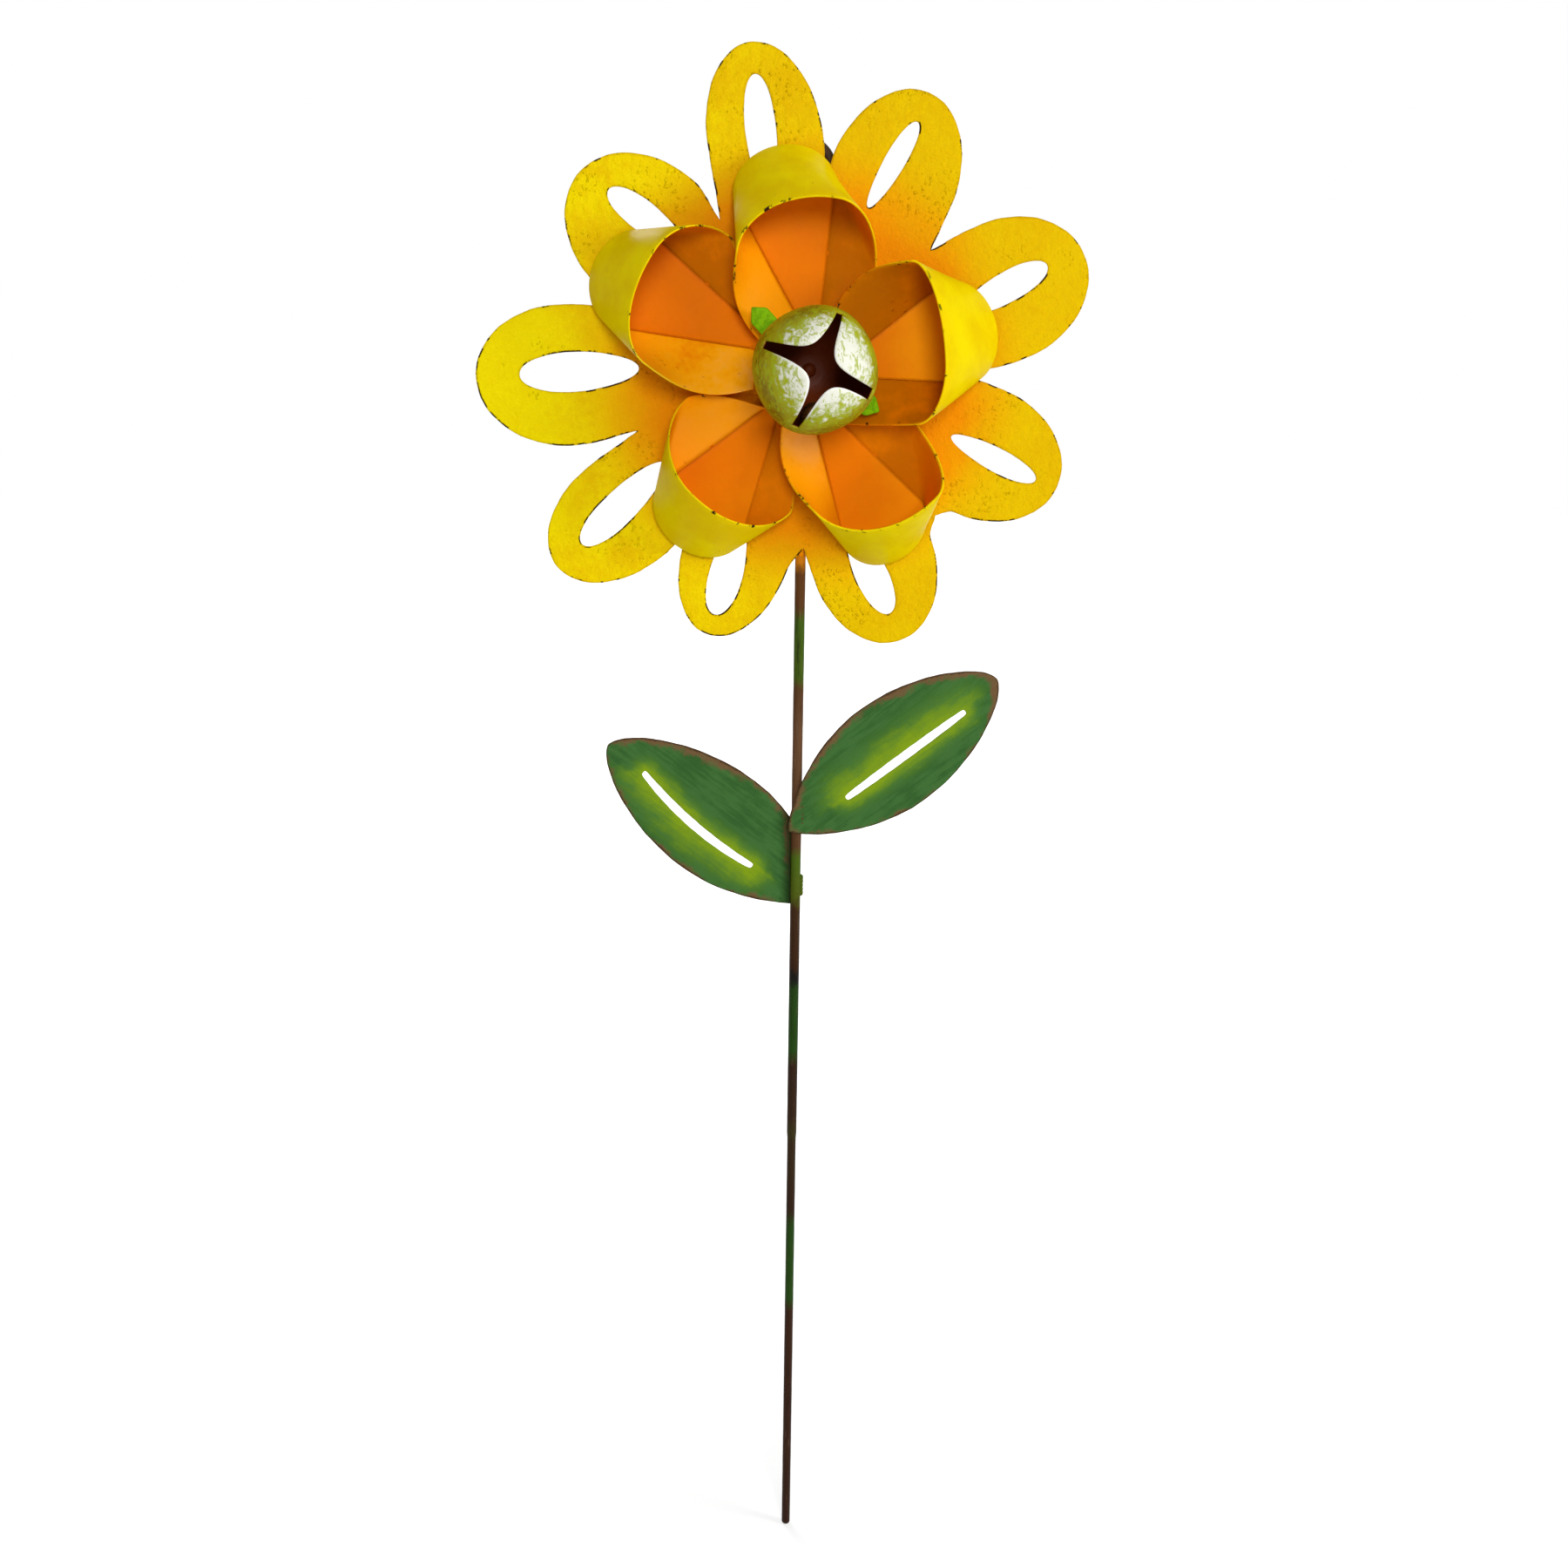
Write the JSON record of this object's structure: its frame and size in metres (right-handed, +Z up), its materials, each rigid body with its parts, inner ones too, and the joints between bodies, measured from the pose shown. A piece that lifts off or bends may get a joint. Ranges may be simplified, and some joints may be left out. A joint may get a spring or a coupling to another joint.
{
  "type": "flower wind spinner on a garden stake",
  "caption": "Painted sheet-metal flower wind spinner: a slotted back flower on a leafed ground stake, and a turning front flower of ribbon loops with a jingle bell at its centre.",
  "frame": {"origin": "on the stake's axis at the ground line, where the spike begins", "axes": "+Z up along the stake, -Y towards the front of the flower, +X to the right seen from the front"},
  "size_m": [0.2601, 0.0743, 0.7102],
  "materials": {
    "stem": "dark brown paint in bands with green, worn and hand brushed",
    "yellow": "satin yellow brushed paint, orange towards the centre, chipped edges",
    "orange": "satin orange sprayed paint",
    "bell": "olive green paint dry-brushed with white over the lobes",
    "strap_green": "bright green paint",
    "leaf": "green brushed paint with rusty brown edges",
    "steel": "plain steel hardware",
    "brass": "plain bush"
  },
  "bodies": {
    "stand": {"stake": "stem", "top_scroll": "stem", "back_flower": "yellow", "plate_welds": "orange", "axle_stud": "steel", "plate_nut": "steel", "rear_washer": "steel", "front_washer": "steel", "lock_nut": "steel", "leaf_left": "leaf", "leaf_right": "leaf", "leaf_welds": "stem"},
    "spinner": {"hub_bush": "brass", "hub_ring": "steel", "star_plate": "orange", "loop_petal_right": "yellow", "loop_petal_top": "yellow", "loop_petal_left": "yellow", "loop_petal_lower_left": "yellow", "loop_petal_lower_right": "yellow", "petal_welds": "orange", "bell_strap": "strap_green", "strap_posts": "steel", "bell_screw": "steel", "bell_nut": "steel", "bell_rear_shell": "bell", "bell_front_shell": "bell"},
    "pellet": {"bell_pellet": "steel"}
  },
  "joints": [
    {"name": "flower_spin", "type": "hinge", "parent": "stand", "child": "spinner", "pos_m": [0, -0.009, 0.36], "axis": [0, -1, 0], "continuous": true},
    {"name": "pellet_roll", "type": "hinge", "parent": "spinner", "child": "pellet", "pos_m": [0, -0.04688, 0.36], "axis": [0, -1, 0], "continuous": true}
  ]
}
